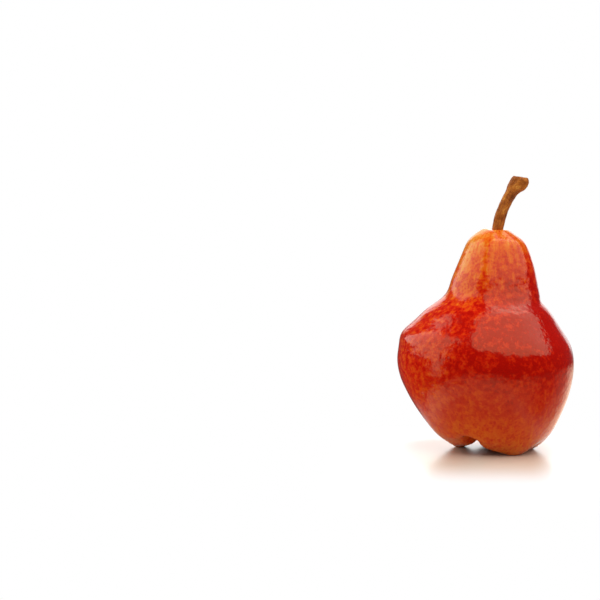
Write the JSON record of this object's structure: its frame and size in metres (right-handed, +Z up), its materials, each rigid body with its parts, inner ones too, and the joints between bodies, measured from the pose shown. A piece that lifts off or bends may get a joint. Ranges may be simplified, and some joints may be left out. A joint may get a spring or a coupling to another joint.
{
  "type": "pear",
  "caption": "Ripe red pear with a leaning neck, a high shoulder on its left, a lobed base that it stands on, a curved woody stem and a dried calyx.",
  "frame": {"origin": "middle of the object's box, at table height", "axes": "+Z up along the fruit, -Y towards the viewer of the picture, +X to the viewer's right, where the neck and stem lean"},
  "size_m": [0.0761, 0.0761, 0.119],
  "materials": {
    "skin": "waxy natural fruit skin, glossy",
    "stem": "rough brown bark",
    "calyx": "dry husk, matte"
  },
  "bodies": {
    "root": {"fruit": "skin", "stem": "stem", "calyx": "calyx"}
  },
  "joints": []
}
